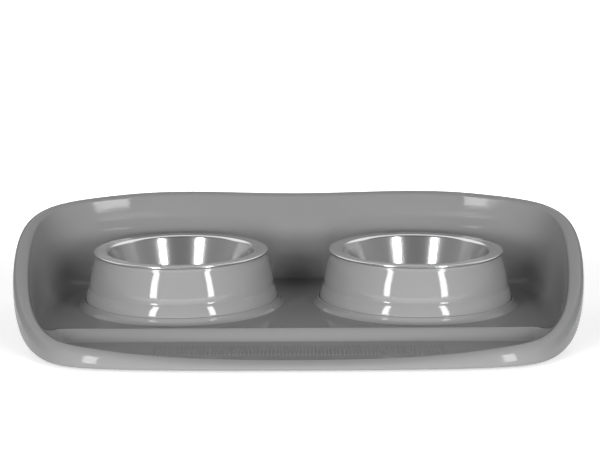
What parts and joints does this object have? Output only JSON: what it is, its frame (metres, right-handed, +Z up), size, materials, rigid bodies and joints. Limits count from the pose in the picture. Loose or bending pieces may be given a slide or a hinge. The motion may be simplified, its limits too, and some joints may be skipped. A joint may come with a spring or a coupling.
{
  "type": "double pet bowl",
  "caption": "Moulded pet feeding tray with a raised splash wall, a ribbed front trough and holder rings that carry lift-out flanged steel bowls.",
  "frame": {"origin": "centre of the tray's footprint, on the table that the rubber feet stand on", "axes": "+X to the right along the tray's long side, +Y from the front lip to the back of the splash wall, +Z up"},
  "size_m": [0.558, 0.34, 0.106],
  "materials": {
    "grey_plastic": "glossy moulded mid-grey plastic",
    "ring_plastic": "glossy moulded mid-grey plastic",
    "bowl_steel": "stainless steel, polished outside and satin inside",
    "foot_rubber": "matt dark rubber"
  },
  "bodies": {
    "stand": {"tray": "grey_plastic", "left_holder_ring": "ring_plastic", "right_holder_ring": "ring_plastic", "front_left_foot": "foot_rubber", "front_right_foot": "foot_rubber", "rear_left_foot": "foot_rubber", "rear_right_foot": "foot_rubber"},
    "left_bowl_body": {"left_bowl": "bowl_steel"},
    "right_bowl_body": {"right_bowl": "bowl_steel"}
  },
  "joints": [
    {"name": "left_bowl_lift", "type": "slide", "parent": "stand", "child": "left_bowl_body", "axis": [0, 0, 1], "range_m": [0, 0.15]},
    {"name": "right_bowl_lift", "type": "slide", "parent": "stand", "child": "right_bowl_body", "axis": [0, 0, 1], "range_m": [0, 0.15]}
  ]
}
